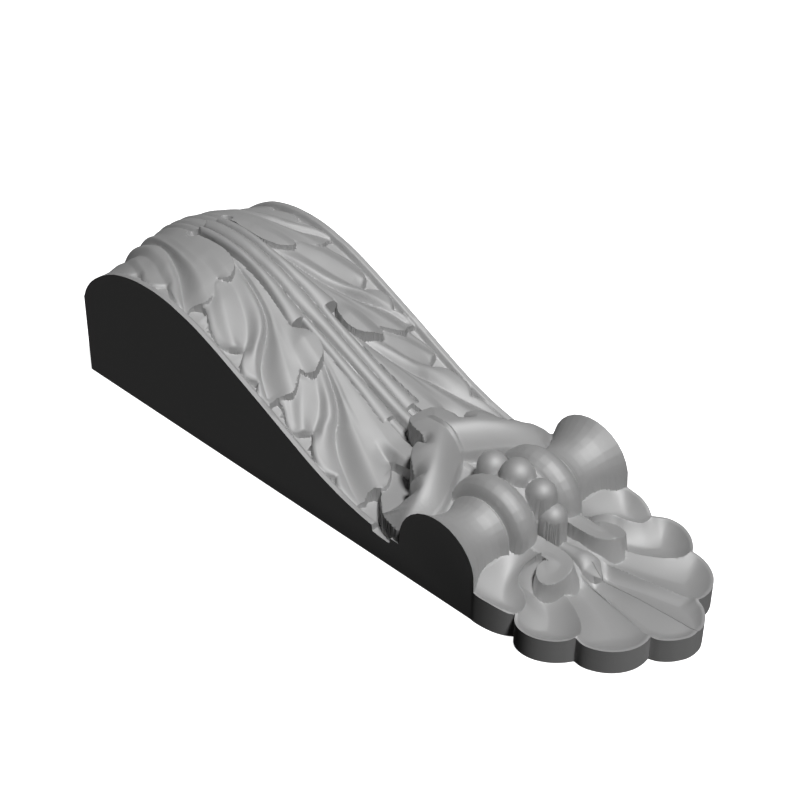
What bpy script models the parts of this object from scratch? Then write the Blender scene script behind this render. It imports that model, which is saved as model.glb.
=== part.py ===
"""Carved acanthus bracket (corbel), lying on its flat back.

The bracket is one carved piece. Its back is the plane z = 0 and it is symmetric about y = 0. X runs from
the thick end, which is uppermost when the bracket is on its wall, to the tip of the shell. All shape
numbers below are in widths of the bracket, so WIDTH alone sets its real size. v is the distance from the
middle plane.
"""

import math

import bmesh
import bpy
import numpy as np

# Driving dimensions
WIDTH = 0.090  # metres across the two flat sides
LENGTH = 3.365  # overall length, thick end to shell tip
HALF = 0.5  # half of the width
ORIGIN_X = 1.6825  # the origin lies under the middle of the length
BODY_END = 2.575  # where the straight sides stop and the shell begins
FAN_END = 2.80  # where the shell's mesh lines meet the middle plane

# Mesh fineness
CELL = 0.0115  # grid cell along the length
ACROSS_CELLS = 88  # grid cells across the whole width
FACES_KEPT = 9500  # triangles kept by the Decimate modifier
STEPS = 4  # straight pieces in each span of a curve

# Side profile of the body: (x, height of the rim)
RIM_PROFILE = [
    (-0.05, 0.40), (0, 0.43), (0.02, 0.473), (0.06, 0.53), (0.12, 0.585), (0.21, 0.641), (0.28, 0.672),
    (0.39, 0.698), (0.50, 0.7075), (0.608, 0.7015), (0.68, 0.69), (0.747, 0.672), (0.816, 0.653),
    (0.884, 0.628), (0.95, 0.60), (1.083, 0.538), (1.28, 0.442), (1.473, 0.344), (1.60, 0.282),
    (1.7275, 0.2305), (1.79, 0.209), (1.853, 0.1915), (1.977, 0.166), (2.07, 0.155), (2.20, 0.155),
]


def curve_through(points, steps=STEPS):
    """Returns the points of a smooth curve that passes through the given ones (Catmull-Rom)."""
    p = np.asarray(points, float)
    ends = np.vstack([2 * p[0] - p[1], p, 2 * p[-1] - p[-2]])
    t = (np.arange(steps) / steps)[:, None]
    spans = []
    for a, b, c, d in zip(ends, ends[1:], ends[2:], ends[3:]):
        turn = (2 * a - 5 * b + 4 * c - d) * t**2 + (3 * b - a - 3 * c + d) * t**3
        spans.append(0.5 * (2 * b + (c - a) * t + turn))
    return np.vstack(spans + [p[-1:]])


def joined(stretches):
    """Returns the points of a line made of smooth stretches that meet at sharp corners."""
    return np.vstack([curve_through(points)[:-1] for points in stretches] + [[stretches[-1][-1]]])


def graph(points, x):
    """Returns the value at x of a smooth graph through (x, value) points that never overshoots them."""
    xs, ys = np.asarray(points, float).T
    width = np.diff(xs)
    slope = np.diff(ys) / width
    both = slope[:-1] * slope[1:]
    middle = np.where(both > 0, 2 * both / np.where(both > 0, slope[:-1] + slope[1:], 1), 0)
    tangent = np.concatenate([slope[:1], middle, slope[-1:]])
    x = np.clip(x, xs[0], xs[-1])
    i = np.clip(np.searchsorted(xs, x) - 1, 0, len(width) - 1)
    t = (x - xs[i]) / width[i]
    rise = ys[i] * (2 * t**3 - 3 * t**2 + 1) + ys[i + 1] * (3 * t**2 - 2 * t**3)
    return rise + width[i] * (tangent[i] * (t**3 - 2 * t**2 + t) + tangent[i + 1] * (t**3 - t**2))


def blend(start, end, x):
    """Returns 0 before start, 1 after end and a smooth step between them."""
    t = np.clip((x - start) / (end - start), 0, 1)
    return t * t * (3 - 2 * t)


def hollow(off, reach):
    """Returns a share that falls from 1 on a line to 0 at reach from it, steeply at first."""
    return np.clip(1 - off / reach, 0, 1) ** 2


def nearest(line, x, v):
    """Returns the distance to a line, the side (1 is left of its travel) and the share of it passed."""
    far = 1e9
    best, side, share = np.full(x.shape, far), np.zeros(x.shape), np.zeros(x.shape)
    lengths = np.hypot(*np.diff(line, axis=0).T)
    passed = np.concatenate([[0], np.cumsum(lengths)])
    for start, (dx, dv), length, before in zip(line, np.diff(line, axis=0), lengths, passed):
        t = np.clip(((x - start[0]) * dx + (v - start[1]) * dv) / length**2, 0, 1)
        off_x, off_v = x - start[0] - t * dx, v - start[1] - t * dv
        squared = off_x**2 + off_v**2
        closer = squared < best
        best = np.where(closer, squared, best)
        side = np.where(closer, np.sign(dx * off_v - dv * off_x), side)
        share = np.where(closer, (before + t * length) / passed[-1], share)
    return np.sqrt(best), side, share


def inside(outline, x, v):
    """Returns whether each point lies inside a closed outline."""
    hit = np.zeros(x.shape, bool)
    for (x0, v0), (x1, v1) in zip(outline, np.roll(outline, -1, axis=0)):
        if v0 != v1:
            hit ^= ((v0 > v) != (v1 > v)) & (x < (x1 - x0) * (v - v0) / (v1 - v0) + x0)
    return hit


def beside_fold(points, x, v):
    """Returns the distance to a fold, whether a place is past it, and the fold's height beside it."""
    points = np.asarray(points, float)
    line = curve_through(points[:, :2])
    off, side, share = nearest(line, x, v)
    passed = np.concatenate([[0], np.cumsum(np.hypot(*np.diff(line, axis=0).T))])
    knots = passed[::STEPS] / passed[-1]
    return off, side > 0, graph(list(zip(knots, points[:, 2])), share)


def skin(folds, x, v):
    """Returns the height of a smooth skin over neighbouring folds.

    Each fold is (points, inner, outer): its points are (x, v, height), and inner and outer say how steeply
    the skin arrives from the fold before it and leaves for the next.
    """
    measured = [beside_fold(points, x, v) for points, _, _ in folds]
    height = measured[0][2]
    pairs = zip(folds, folds[1:], measured, measured[1:])
    for (_, _, leaving), (_, arriving, _), (off, past, level), (next_off, _, next_level) in pairs:
        t = off / np.maximum(off + next_off, 1e-9)
        eased = t * t * (3 - 2 * t) + leaving * (t**3 - 2 * t**2 + t) + arriving * (t**3 - t**2)
        height = np.where(past, level + (next_level - level) * eased, height)
    return np.where(measured[-1][1], measured[-1][2], height)


# The leaf hangs in three tiers, each over the next. Each tier ends in an edge of lobes, drawn from the ribs
# to the rim, has scallops along the rim, and folds that run from the thick end to the lobes and scallops.
# The heights of the folds are above the rim.
EDGES = {
    1: [
        [(0.385, 0.10), (0.50, 0.095), (0.60, 0.095), (0.65, 0.105), (0.70, 0.128), (0.73, 0.158),
         (0.75, 0.195), (0.735, 0.225), (0.703, 0.24)],
        [(0.703, 0.24), (0.73, 0.275), (0.76, 0.31), (0.777, 0.35), (0.77, 0.385), (0.745, 0.412),
         (0.738, 0.43)],
        [(0.738, 0.43), (0.745, 0.47), (0.745, 0.52)],
    ],
    2: [
        [(1.10, 0.147), (1.12, 0.122), (1.16, 0.098), (1.20, 0.09), (1.24, 0.092), (1.28, 0.112),
         (1.307, 0.148), (1.325, 0.19), (1.33, 0.215), (1.31, 0.24), (1.275, 0.25)],
        [(1.275, 0.25), (1.30, 0.285), (1.33, 0.33), (1.338, 0.36), (1.32, 0.39), (1.297, 0.42)],
        [(1.297, 0.42), (1.30, 0.45), (1.30, 0.47), (1.30, 0.52)],
    ],
    3: [
        [(2.06, 0.19), (1.98, 0.20), (1.916, 0.208), (1.853, 0.208), (1.805, 0.214)],
        [(1.805, 0.214), (1.835, 0.23), (1.862, 0.257), (1.89, 0.295), (1.904, 0.33), (1.895, 0.353),
         (1.872, 0.37), (1.862, 0.40)],
        [(1.862, 0.40), (1.873, 0.43), (1.863, 0.46), (1.855, 0.52)],
    ],
}
ROOTS = {
    1: [(-0.2, 0.52), (-0.2, -0.01), (0.36, 0.0)],
    2: [(0.50, 0.52), (0.50, 0.04), (1.09, 0.04)],
    3: [(1.0, 0.52), (1.0, 0.04), (2.06, 0.04)],
}
SCALLOPS = {
    1: [
        [(-0.1, 0.47), (0.2, 0.47), (0.30, 0.462), (0.35, 0.43), (0.38, 0.43)],
        [(0.38, 0.43), (0.42, 0.452), (0.47, 0.46), (0.51, 0.45), (0.545, 0.41)],
        [(0.545, 0.41), (0.58, 0.43), (0.63, 0.455), (0.70, 0.47), (0.78, 0.47)],
    ],
    2: [
        [(0.74, 0.385), (0.79, 0.39), (0.83, 0.41), (0.88, 0.437), (0.93, 0.452), (0.98, 0.446),
         (1.012, 0.42), (1.033, 0.375)],
        [(1.033, 0.375), (1.055, 0.40), (1.08, 0.435), (1.11, 0.46), (1.14, 0.465), (1.17, 0.45),
         (1.19, 0.43)],
        [(1.19, 0.43), (1.21, 0.455), (1.25, 0.476), (1.36, 0.48)],
    ],
    3: [
        [(1.28, 0.41), (1.32, 0.415), (1.35, 0.425), (1.39, 0.448), (1.43, 0.457), (1.46, 0.44),
         (1.475, 0.41), (1.486, 0.38)],
        [(1.486, 0.38), (1.51, 0.40), (1.55, 0.44), (1.60, 0.466), (1.65, 0.472), (1.682, 0.456),
         (1.70, 0.44)],
        [(1.70, 0.44), (1.73, 0.463), (1.78, 0.478), (1.95, 0.48)],
    ],
}
TIER_FOLDS = {
    1: [
        ([(-0.05, 0.03, 0.122), (0.10, 0.045, 0.112), (0.30, 0.07, 0.09), (0.45, 0.12, 0.078),
          (0.60, 0.15, 0.076), (0.74, 0.18, 0.074)], 0, 0),
        ([(-0.05, 0.10, 0.095), (0.20, 0.15, 0.078), (0.35, 0.19, 0.068), (0.515, 0.218, 0.060),
          (0.607, 0.222, 0.055), (0.703, 0.24, 0.048)], 1, 1),
        ([(-0.05, 0.14, 0.10), (0.10, 0.165, 0.09), (0.30, 0.215, 0.062), (0.45, 0.245, 0.052),
          (0.60, 0.275, 0.044), (0.77, 0.335, 0.034)], 0, 0),
        ([(-0.05, 0.20, 0.060), (0.20, 0.215, 0.045), (0.35, 0.245, 0.024), (0.45, 0.285, 0.0),
          (0.53, 0.325, -0.014), (0.60, 0.37, -0.02), (0.67, 0.42, -0.022), (0.73, 0.46, -0.024)], 0.6, 2),
        ([(-0.05, 0.23, 0.072), (0.10, 0.245, 0.066), (0.20, 0.25, 0.055), (0.35, 0.29, 0.032),
          (0.45, 0.325, 0.02), (0.53, 0.36, 0.006), (0.62, 0.42, -0.004), (0.70, 0.465, -0.01)], 0, 0),
        ([(-0.05, 0.28, 0.0), (0.10, 0.30, 0.0), (0.20, 0.30, 0.02), (0.36, 0.34, 0.012),
          (0.46, 0.38, -0.006), (0.54, 0.41, -0.016)], 1, 1),
        ([(-0.05, 0.31, 0.01), (0.10, 0.33, 0.008), (0.20, 0.335, 0.022), (0.35, 0.39, 0.004),
          (0.45, 0.44, -0.01)], 0, 0),
        ([(-0.05, 0.35, 0.02), (0.15, 0.36, 0.014), (0.25, 0.39, 0.0), (0.36, 0.43, -0.016)], 1, 1),
        ([(-0.05, 0.40, 0.01), (0.10, 0.42, 0.0), (0.25, 0.45, -0.01)], 0, 0),
    ],
    2: [
        ([(0.68, 0.07, 0.060), (0.85, 0.085, 0.062), (1.0, 0.11, 0.068), (1.10, 0.135, 0.078),
          (1.20, 0.14, 0.108), (1.33, 0.16, 0.11)], 0, 0),
        ([(0.68, 0.085, 0.056), (0.85, 0.11, 0.058), (1.0, 0.15, 0.064), (1.10, 0.19, 0.072),
          (1.20, 0.22, 0.073), (1.30, 0.2475, 0.062)], 1, 1),
        ([(0.68, 0.095, 0.054), (0.85, 0.125, 0.056), (0.97, 0.16, 0.058), (1.05, 0.20, 0.060),
          (1.15, 0.245, 0.064), (1.25, 0.295, 0.062), (1.33, 0.335, 0.054)], 0, 0),
        ([(0.68, 0.105, 0.048), (0.786, 0.129, 0.037), (0.889, 0.157, 0.036), (0.97, 0.188, 0.034),
          (1.03, 0.23, 0.026), (1.07, 0.28, 0.008), (1.10, 0.325, -0.006), (1.14, 0.37, -0.012),
          (1.19, 0.405, -0.014), (1.26, 0.44, -0.02)], 0.6, 2),
        ([(0.68, 0.125, 0.048), (0.80, 0.157, 0.054), (0.905, 0.189, 0.058), (0.957, 0.2115, 0.058),
          (1.0, 0.2375, 0.056), (1.04, 0.275, 0.050), (1.075, 0.33, 0.038), (1.11, 0.375, 0.022),
          (1.16, 0.42, 0.008), (1.23, 0.455, -0.004)], 0, 0),
        ([(0.75, 0.20, 0.045), (0.85, 0.235, 0.036), (0.95, 0.285, 0.022), (1.01, 0.335, 0.006),
          (1.035, 0.375, -0.01)], 0.5, 1),
        ([(0.74, 0.25, 0.048), (0.82, 0.30, 0.042), (0.90, 0.345, 0.03), (0.97, 0.385, 0.018),
          (1.02, 0.41, 0.01)], 0, 0),
        ([(0.74, 0.35, 0.02), (0.83, 0.40, 0.006), (0.90, 0.435, -0.004), (0.98, 0.455, -0.01)], 0, 0),
    ],
    3: [
        ([(1.25, 0.08, 0.075), (1.40, 0.10, 0.084), (1.55, 0.12, 0.092), (1.66, 0.14, 0.092),
          (1.75, 0.16, 0.088), (1.85, 0.17, 0.10), (1.98, 0.18, 0.12)], 0, 0),
        ([(1.25, 0.095, 0.070), (1.40, 0.135, 0.076), (1.50, 0.17, 0.080), (1.60, 0.195, 0.080),
          (1.70, 0.208, 0.074), (1.805, 0.214, 0.045), (1.853, 0.208, 0.07), (1.916, 0.208, 0.095),
          (1.98, 0.20, 0.105)], 1, 1),
        ([(1.25, 0.10, 0.066), (1.40, 0.15, 0.068), (1.50, 0.19, 0.070), (1.62, 0.235, 0.070),
          (1.75, 0.285, 0.062), (1.88, 0.335, 0.05)], 0, 0),
        ([(1.25, 0.108, 0.060), (1.40, 0.172, 0.044), (1.47, 0.21, 0.036), (1.52, 0.255, 0.022),
          (1.555, 0.305, 0.002), (1.62, 0.352, -0.010), (1.70, 0.39, -0.012), (1.78, 0.425, -0.01),
          (1.87, 0.455, -0.008)], 0.6, 2),
        ([(1.25, 0.13, 0.060), (1.40, 0.21, 0.066), (1.455, 0.243, 0.062), (1.495, 0.276, 0.052),
          (1.52, 0.325, 0.038), (1.57, 0.39, 0.022), (1.64, 0.435, 0.008), (1.74, 0.46, 0.0)], 0, 0),
        ([(1.28, 0.17, 0.052), (1.34, 0.22, 0.050), (1.42, 0.275, 0.032), (1.465, 0.33, 0.012),
          (1.486, 0.375, -0.008)], 0.5, 1),
        ([(1.32, 0.26, 0.050), (1.37, 0.32, 0.040), (1.42, 0.37, 0.024), (1.465, 0.41, 0.01)], 0, 0),
        ([(1.30, 0.35, 0.02), (1.36, 0.40, 0.004), (1.43, 0.445, -0.008)], 0, 0),
    ],
}
ROLL, ROLL_WIDTH = 0.012, 0.025  # how far a tier rolls down at its scallops, and over what width
CHANNEL_DEPTH = 0.03  # the ground between the leaf and the rim, below the rim


def tier(number, x, v):
    """Returns a tier's height above the rim, and where it lies within its scallops."""
    to_rim = np.interp(x, *joined(SCALLOPS[number]).T) - v
    rolled = ROLL * np.clip(1 - to_rim / ROLL_WIDTH, 0, 1) ** 2
    return skin(TIER_FOLDS[number], x, v) - rolled, to_rim > 0


def covers(number, x, v):
    """Returns whether a tier lies at each place, scallops aside."""
    return inside(np.vstack([ROOTS[number], joined(EDGES[number])]), x, v)


# The ribs down the middle: the midrib, and a rod on each side that ends over the start of the next one
MIDRIB_EDGE = [(0, 0.03), (0.3, 0.036), (0.9, 0.038), (1.0, 0.044), (1.2, 0.034), (1.6, 0.03), (2, 0.03)]
ROD_ENDS = [1.10, 1.665, 2.10]
ROD_EDGES = [
    [(0, 0.07), (0.385, 0.085), (0.70, 0.086), (0.85, 0.0975), (1.0, 0.1235), (1.10, 0.145), (1.2, 0.15)],
    [(1.0, 0.085), (1.2, 0.088), (1.35, 0.0925), (1.5, 0.10), (1.66, 0.1165), (1.75, 0.12)],
    [(1.5, 0.07), (1.7, 0.088), (1.9, 0.10)],
]
ROD_DROPS = [0.004, 0.012, 0.03]  # how far each rod's crest lies below the midrib's
CREST, GROOVE = 0.104, 0.070  # the midrib's top and the grooves beside it, above the rim
CREST_GAIN, GROOVE_GAIN = 0.008, 0.012  # how much they rise towards the calyx


def ribs(rim, x, v):
    """Returns the height of the ribs, and below the rim where there are none."""
    crest = rim + CREST + CREST_GAIN * blend(1.2, 1.6, x)
    groove = rim + GROOVE + GROOVE_GAIN * blend(1.2, 1.6, x)
    midrib = graph(MIDRIB_EDGE, x)
    rounded = np.sqrt(np.clip(1 - (v / midrib) ** 2, 0, 1))
    height = np.where(v < midrib, groove + (crest - groove) * rounded, -1.0)
    start = -1.0
    for end, edge, drop in zip(ROD_ENDS, ROD_EDGES, ROD_DROPS):
        outer = graph(edge, x)
        across = np.clip(2 * (v - midrib) / (outer - midrib) - 1, -1, 1)
        rod = groove - drop + (crest - groove) * np.sqrt(1 - across**2)
        height = np.where((v >= midrib) & (v < outer) & (x >= start) & (x < end), rod, height)
        start = end
    return height


EYE = (0.375, 0.10, 0.035, 0.05)  # the drilled eye at the start of the first edge: x, v, radius, depth
FURROW_DEPTH, FURROW_WIDTH = 0.016, 0.024  # the grooves beside the ribs, where the first tier covers them
FURROW_FADE = (0.355, 0.385)  # where the furrows end, along the bracket
PLATE = [
    (1.805, 0.214), (1.93, 0.19), (2.10, 0.20), (2.10, 0.42), (2.04, 0.46), (2.006, 0.456), (1.945, 0.402),
    (1.895, 0.353), (1.84, 0.30),
]
PLATE_TOP = 0.213
RIM_LIP_START, RIM_LIP_TOP, RIM_LIP_END = 0.452, 0.478, 1.99  # across, across, along


def body(x, v):
    """Returns the height of the leaf-covered body."""
    rim = graph(RIM_PROFILE, x)
    ground = rim - CHANNEL_DEPTH
    height = np.where(inside(PLATE, x, v), PLATE_TOP, ground)
    for number in (3, 2):
        leaf, within = tier(number, x, v)
        height = np.where(covers(number, x, v), np.where(within, rim + leaf, ground), height)
    rods = ribs(rim, x, v)
    height = np.where(rods > 0, rods, height)
    leaf, within = tier(1, x, v)
    height = np.where(covers(1, x, v), np.where(within, rim + leaf, ground), height)
    for edge in (MIDRIB_EDGE, ROD_EDGES[0]):
        furrow = FURROW_DEPTH * hollow(np.abs(v - graph(edge, x)), FURROW_WIDTH)
        height = height - furrow * (1 - blend(*FURROW_FADE, x))
    eye_x, eye_v, radius, depth = EYE
    height = height - depth * np.clip(1 - ((x - eye_x) ** 2 + (v - eye_v) ** 2) / radius**2, 0, 1)
    lip = ground + CHANNEL_DEPTH * blend(RIM_LIP_START, RIM_LIP_TOP, v)
    return np.where((v > RIM_LIP_START) & (x < RIM_LIP_END), np.maximum(height, lip), height)


# The baluster that lies across the bracket: its radius by distance from the middle, the angle of one flat
# of its turned face, and its row of beads as (angle round the axis, distance from the axis, radius)
AXIS_X, AXIS_Z = 2.37, 0.197
BALUSTER = [
    (0, 0.185), (0.075, 0.185), (0.085, 0.20), (0.11, 0.218), (0.14, 0.227), (0.17, 0.225), (0.195, 0.212),
    (0.211, 0.19), (0.22, 0.162), (0.226, 0.162), (0.234, 0.17), (0.27, 0.152), (0.31, 0.146),
    (0.35, 0.149), (0.39, 0.158), (0.43, 0.174), (0.465, 0.195), (0.50, 0.218),
]
FLAT_ANGLE = 15
BEADS = [(17, 0.215, 0.066), (48, 0.203, 0.070), (90, 0.176, 0.080), (134, 0.205, 0.071)]


def baluster(x, v):
    """Returns the height of the baluster and its beads, and -1 beside them."""
    radius = np.interp(v, *zip(*BALUSTER))
    across = (x - AXIS_X) / radius
    turns = np.radians(np.arange(180, -1, -FLAT_ANGLE))
    turned = AXIS_Z + radius * np.interp(across, np.cos(turns), np.sin(turns))
    height = np.where(np.abs(across) < 1, turned, -1.0)
    for angle, circle, bead_radius in BEADS:
        bead_x = AXIS_X + circle * math.cos(math.radians(angle))
        bead_z = AXIS_Z + circle * math.sin(math.radians(angle))
        rise = bead_radius**2 - (x - bead_x) ** 2 - v**2
        height = np.maximum(height, np.where(rise > 0, bead_z + np.sqrt(np.maximum(rise, 0)), -1.0))
    return height


# The calyx: two curled leaves that meet in the middle, over the end of the big leaf. The heights of its
# folds are above the back, from the baluster's side to the leaf's side.
CALYX = [
    [(1.765, -0.01), (1.768, 0.04), (1.79, 0.075), (1.85, 0.10), (1.90, 0.108), (1.932, 0.122)],
    [(1.932, 0.122), (1.92, 0.15), (1.93, 0.19), (1.953, 0.23), (1.99, 0.262), (2.032, 0.285)],
    [(2.032, 0.285), (2.033, 0.31), (2.05, 0.335), (2.075, 0.347)],
    [(2.075, 0.347), (2.052, 0.362), (2.048, 0.404), (2.024, 0.446), (2.006, 0.456), (2.04, 0.474),
     (2.10, 0.488), (2.165, 0.497)],
    [(2.165, 0.497), (2.24, 0.47), (2.30, 0.42), (2.30, -0.01)],
]
CALYX_FOLDS = [
    ([(2.06, 0, 0.27), (2.11, 0.07, 0.26), (2.16, 0.16, 0.26), (2.215, 0.26, 0.25), (2.235, 0.35, 0.23),
      (2.22, 0.45, 0.19)], 0, 0),
    ([(2.04, 0, 0.325), (2.085, 0.07, 0.325), (2.13, 0.15, 0.32), (2.19, 0.26, 0.295), (2.21, 0.35, 0.265),
      (2.195, 0.44, 0.215)], 0, 2),
    ([(1.91, 0, 0.421), (1.96, 0.06, 0.424), (2.0, 0.12, 0.422), (2.06, 0.20, 0.405), (2.10, 0.28, 0.378),
      (2.13, 0.36, 0.336), (2.14, 0.44, 0.272), (2.15, 0.48, 0.228)], 0, 0),
    ([(1.765, 0, 0.388), (1.79, 0.075, 0.396), (1.85, 0.10, 0.402), (1.932, 0.122, 0.398),
      (1.92, 0.15, 0.396), (1.93, 0.19, 0.392), (1.953, 0.23, 0.384), (1.99, 0.262, 0.366),
      (2.032, 0.285, 0.342), (2.033, 0.31, 0.326), (2.05, 0.335, 0.30), (2.053, 0.36, 0.266),
      (2.048, 0.404, 0.245), (2.024, 0.446, 0.225), (2.006, 0.456, 0.216), (2.04, 0.474, 0.216),
      (2.10, 0.488, 0.214), (2.165, 0.497, 0.21)], 2, 0),
]
CREASES = [[(1.932, 0.122), (1.99, 0.15)], [(2.032, 0.285), (2.09, 0.27)], [(2.075, 0.347), (2.12, 0.34)]]
CREASE_DEPTH, CREASE_WIDTH = 0.035, 0.045
SEAM = 0.014  # height and half-width of the raised seam where the two leaves meet


def calyx(x, v):
    """Returns the height of the calyx, and -1 beside it."""
    height = skin(CALYX_FOLDS, x, v)
    for crease in CREASES:
        off, _, share = nearest(np.asarray(crease), x, v)
        height = height - CREASE_DEPTH * (1 - share) * hollow(off, CREASE_WIDTH)
    height = height + SEAM * np.clip(1 - v / SEAM, 0, 1) * blend(1.82, 1.88, x)
    return np.where(inside(joined(CALYX), x, v), height, -1.0)


# The shell: its outline from the side to the tip, the ridges between its flutes, its volute, bud and lip
OUTLINE = [
    (2.575, 0.50), (2.60, 0.50), (2.65, 0.499), (2.70, 0.49), (2.74, 0.474), (2.775, 0.45), (2.795, 0.477),
    (2.83, 0.494), (2.88, 0.499), (2.93, 0.489), (2.98, 0.462), (3.02, 0.422), (3.045, 0.385),
    (3.085, 0.388), (3.13, 0.375), (3.18, 0.345), (3.22, 0.302), (3.245, 0.25), (3.252, 0.20),
    (3.248, 0.158), (3.285, 0.142), (3.325, 0.105), (3.352, 0.06), (LENGTH, 0),
]
RIDGE_AB = [
    (2.775, 0.45), (2.775, 0.405), (2.76, 0.368), (2.72, 0.337), (2.67, 0.315), (2.645, 0.275),
    (2.64, 0.23), (2.65, 0.19), (2.668, 0.163), (2.68, 0.142),
]
RIDGE_BC = [(3.045, 0.385), (3.03, 0.335), (2.98, 0.28), (2.91, 0.235), (2.84, 0.205), (2.77, 0.19)]
RIDGE_CD = [(3.248, 0.158), (3.15, 0.138), (3.05, 0.118), (2.95, 0.10), (2.87, 0.085), (2.80, 0.075)]
RIDGE_TOPS = (0.11, 0.118, 0.112)  # at the outline
RIDGE_GAINS = (0.08, -0.01, -0.01)  # towards the baluster
RIDGE_REACHES = (0.13, 0.15, 0.12)
FLUTE_FLOORS = (0.08, 0.055, 0.078)
FIRST_FLUTE_END = 2.62
SHELL_LIP = [(2.575, 0.15), (2.66, 0.148), (2.72, 0.136), (2.775, 0.118), (3.40, 0.118)]
LIP_WIDTH, LIP_REACH = 0.012, 0.13
SHELL_ROOT, ROOT_START, ROOT_REACH = 0.17, 2.53, 0.20  # the first flute's rise to the baluster
VOLUTE = [
    (2.705, 0.168), (2.685, 0.175), (2.678, 0.20), (2.69, 0.23), (2.71, 0.247), (2.735, 0.258),
    (2.77, 0.2545), (2.80, 0.232), (2.815, 0.20), (2.817, 0.16), (2.80, 0.12), (2.765, 0.092), (2.73, 0.081),
    (2.69, 0.077), (2.60, 0.077), (2.50, 0.077),
]
VOLUTE_CLOSE = (2.5, 0.16)
VOLUTE_TOP, BOWL_DEPTH, BOWL_REACH = 0.20, 0.004, 0.06
VOLUTE_TILT = [(0.08, 0.205), (0.14, 0.205), (0.20, 0.185), (0.26, 0.158)]  # its top, by distance across
VOLUTE_WALLS = (8, 3.2)  # how steep its walls are towards the side, and towards the bud and the tip
RAMP_START, RAMP_REACH = 0.165, 0.21  # across: the rise into the volute
TONGUE_CREST = [(2.80, 0.083), (2.86, 0.086), (3.07, 0.108), (3.33, 0.119), (LENGTH, 0.119)]
TONGUE_DROP, TONGUE_RIDGE_REACH, TONGUE_LIP_REACH = 0.03, 0.06, 0.08
BUD_WALL = 0.11
BUD_FLOOR = [
    (2.575, 0.14), (2.64, 0.14), (2.70, 0.143), (2.73, 0.143), (2.775, 0.134), (2.80, 0.123), (2.83, 0.108),
    (2.87, 0.093),
]
FLOOR_RISE, FLOOR_END = 2.79, 2.87  # where the channel beside the bud rises into the shell
BUD_EDGE = [
    (2.60, 0.03), (2.66, 0.03), (2.70, 0.033), (2.73, 0.038), (2.775, 0.049), (2.80, 0.056), (2.82, 0.048),
    (2.84, 0.03), (2.868, 0.001),
]
BUD_RISE = [
    (2.60, 0.02), (2.66, 0.022), (2.72, 0.024), (2.77, 0.034), (2.80, 0.034), (2.83, 0.02), (2.868, 0),
]


def summed(rises):
    """Returns rises merged so that they meet without creases."""
    return np.cbrt(sum(np.clip(rise, 0, None) ** 3 for rise in rises))


def flutes(to_lip, x, v):
    """Returns the height of the three scooped flutes, which rise to the ridges, the lip and the volute."""
    ridges = [nearest(curve_through(line), x, v) for line in (RIDGE_AB, RIDGE_BC, RIDGE_CD)]
    in_first = (ridges[0][1] < 0) | (x < FIRST_FLUTE_END)
    first, second, third = FLUTE_FLOORS
    floor = np.where(in_first, first, np.where(ridges[1][1] < 0, second, third))
    rises = [
        (top + gain * share - floor) * hollow(off, reach)
        for (off, _, share), top, gain, reach in zip(ridges, RIDGE_TOPS, RIDGE_GAINS, RIDGE_REACHES)
    ]
    rises.append((graph(SHELL_LIP, x) - floor) * hollow(to_lip, LIP_REACH))
    rises.append((SHELL_ROOT - floor) * hollow(x - ROOT_START, ROOT_REACH) * in_first)
    rises.append((VOLUTE_TOP - floor) * np.clip(1 - (v - RAMP_START) / RAMP_REACH, 0, 1) ** 1.5 * in_first)
    return floor + summed(rises)


def tongue(ridge_v, to_lip, x, v):
    """Returns the height of the middle lobe, with a crest along its middle."""
    floor = graph(TONGUE_CREST, x) - TONGUE_DROP
    off_ridge = nearest(curve_through(RIDGE_CD), x, v)[0]
    return floor + summed([
        TONGUE_DROP * hollow(v, 0.8 * ridge_v),
        (RIDGE_TOPS[2] - floor) * hollow(off_ridge, TONGUE_RIDGE_REACH),
        (graph(SHELL_LIP, x) - floor) * hollow(to_lip, TONGUE_LIP_REACH),
    ])


def shell(x, v):
    """Returns the height of the shell with its volute and bud."""
    to_lip = nearest(np.asarray(OUTLINE), x, v)[0] - LIP_WIDTH
    ridge_v = np.interp(x, *np.asarray(RIDGE_CD[::-1]).T)
    height = np.where(v < ridge_v, tongue(ridge_v, to_lip, x, v), flutes(to_lip, x, v))
    floor = graph(BUD_FLOOR, x)
    height = np.where(v < BUD_WALL, floor + (height - floor) * blend(FLOOR_RISE, FLOOR_END, x), height)
    volute = curve_through(VOLUTE)
    off = nearest(volute, x, v)[0]
    top = graph(VOLUTE_TILT, v)
    steep, easy = VOLUTE_WALLS
    slope = steep + (easy - steep) * blend(2.74, 2.82, x + 0.14 - v)
    height = np.maximum(height, top - slope * off)
    bowl = top - BOWL_DEPTH * blend(0, BOWL_REACH, off)
    height = np.where(inside(np.vstack([volute, VOLUTE_CLOSE]), x, v), bowl, height)
    bud = graph(BUD_EDGE, x)
    rounded = floor + graph(BUD_RISE, x) * np.sqrt(np.clip(1 - (v / bud) ** 2, 0, 1))
    return np.where((v < bud) & (x < BUD_EDGE[-1][0]), np.maximum(height, rounded), height)


FLARE_START = 2.168  # where the baluster's flat ends begin
GROUND_AT_BALUSTER, GROUND_UNDER_BALUSTER = 0.155, 0.10
BODY_STOP, SHELL_START = 2.10, 2.5


def relief(x, y):
    """Returns the height of the carved face above the back, in widths."""
    v = np.abs(y)
    height = np.where(x < BODY_STOP, body(x, v), GROUND_AT_BALUSTER)
    under = np.where(x < SHELL_START, GROUND_UNDER_BALUSTER, shell(x, v))
    height = np.where(x > FLARE_START, under, height)
    return np.maximum(np.maximum(height, calyx(x, v)), baluster(x, v))


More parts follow.
